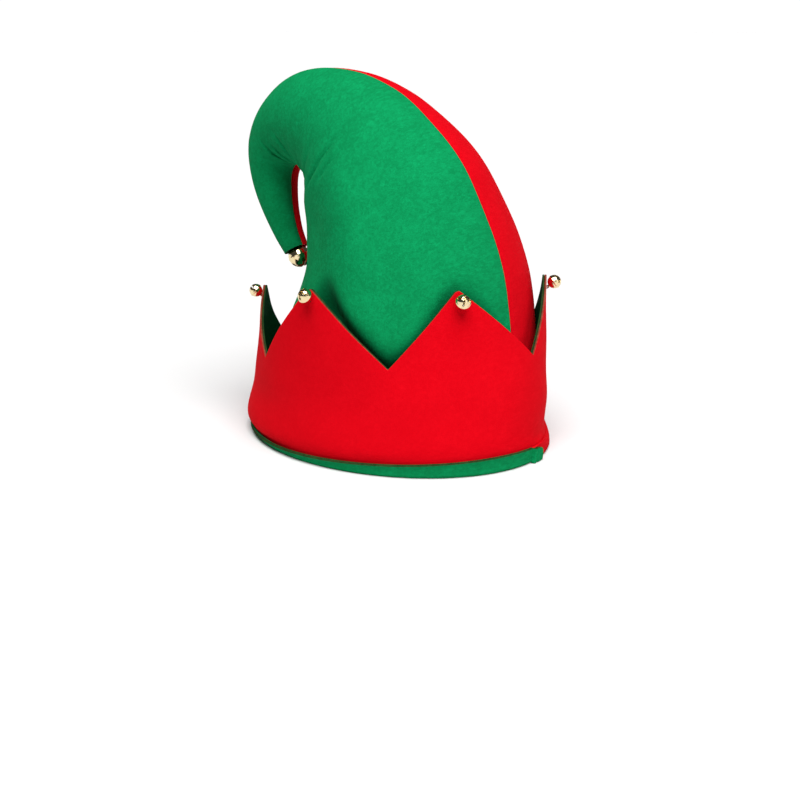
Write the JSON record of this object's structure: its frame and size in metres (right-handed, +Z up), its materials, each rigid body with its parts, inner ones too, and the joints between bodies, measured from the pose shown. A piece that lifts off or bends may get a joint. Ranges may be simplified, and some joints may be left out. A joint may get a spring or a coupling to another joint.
{
  "type": "elf hat",
  "caption": "Soft two-colour felt hat whose tall crown narrows into a curl that falls to one side, with a turned-up zigzag cuff and small round bells on its points and tip.",
  "frame": {"origin": "middle of the footprint's box, on the floor that the hat stands on", "axes": "+Z up; the curl lies over the XZ plane and falls towards -X; the green panel faces -Y and the red panel faces +Y"},
  "size_m": [0.247, 0.2016, 0.2522],
  "materials": {
    "green_felt": "brushed felt, matt",
    "red_felt": "brushed felt, matt",
    "pale_gold": "thin pressed metal, polished pale gold"
  },
  "bodies": {
    "root": {"crown_green_panel": "green_felt", "crown_red_panel": "red_felt", "cuff_outer": "red_felt", "cuff_lining": "green_felt", "tip_bell": "pale_gold", "tip_bell_pellet": "pale_gold", "point_bell_1": "pale_gold", "point_bell_1_pellet": "pale_gold", "point_bell_2": "pale_gold", "point_bell_2_pellet": "pale_gold", "point_bell_3": "pale_gold", "point_bell_3_pellet": "pale_gold", "point_bell_4": "pale_gold", "point_bell_4_pellet": "pale_gold", "point_bell_5": "pale_gold", "point_bell_5_pellet": "pale_gold", "point_bell_6": "pale_gold", "point_bell_6_pellet": "pale_gold"}
  },
  "joints": []
}
